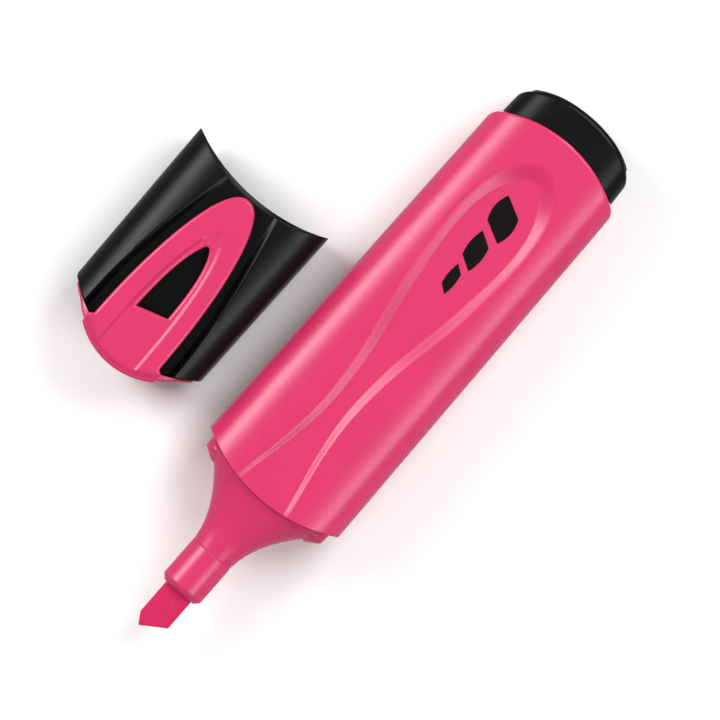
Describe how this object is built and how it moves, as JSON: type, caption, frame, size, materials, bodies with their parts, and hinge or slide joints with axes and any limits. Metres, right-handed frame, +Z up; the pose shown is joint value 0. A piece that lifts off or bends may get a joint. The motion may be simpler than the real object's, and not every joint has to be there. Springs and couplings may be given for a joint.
{
  "type": "highlighter",
  "caption": "Flat chisel-tip highlighter, open, with a waisted panel on the barrel, a black end plug and a black cap with a coloured windowed clip lying beside it.",
  "frame": {"origin": "middle of the base of the whole object, pen and cap together, on the surface they lie on", "axes": "+X along the pen from the nib to the end plug, +Y from the pen towards the cap beside it, +Z up out of the clip side"},
  "size_m": [0.1096, 0.0601, 0.0184],
  "materials": {
    "pink_plastic": "satin moulded, fuchsia pink",
    "black_plastic": "satin moulded, black",
    "inked_felt": "pressed fibre soaked in pink ink",
    "reservoir_fibre": "polyester fibre soaked in pink ink",
    "clear_film": "thin wrapping film",
    "liner_plastic": "natural soft plastic"
  },
  "bodies": {
    "barrel": {"barrel_shell": "pink_plastic", "nose_section": "pink_plastic", "nib": "inked_felt", "ink_reservoir": "reservoir_fibre", "reservoir_film": "clear_film", "end_plug": "black_plastic"},
    "cap": {"cap_sleeve": "black_plastic", "cap_insert": "pink_plastic", "inner_cap": "liner_plastic"},
    "clip_tongue": {"clip": "pink_plastic"}
  },
  "joints": [
    {"name": "cap_slide", "type": "slide", "parent": "barrel", "child": "cap", "axis": [-1, 0, 0], "range_m": [0, 0.068]},
    {"name": "clip_flex", "type": "hinge", "parent": "cap", "child": "clip_tongue", "pos_m": [-0.02155, 0.0164, 0.0172], "axis": [0, -1, 0], "range_deg": [0, 5], "stiffness_Nm_per_rad": 0.6}
  ]
}
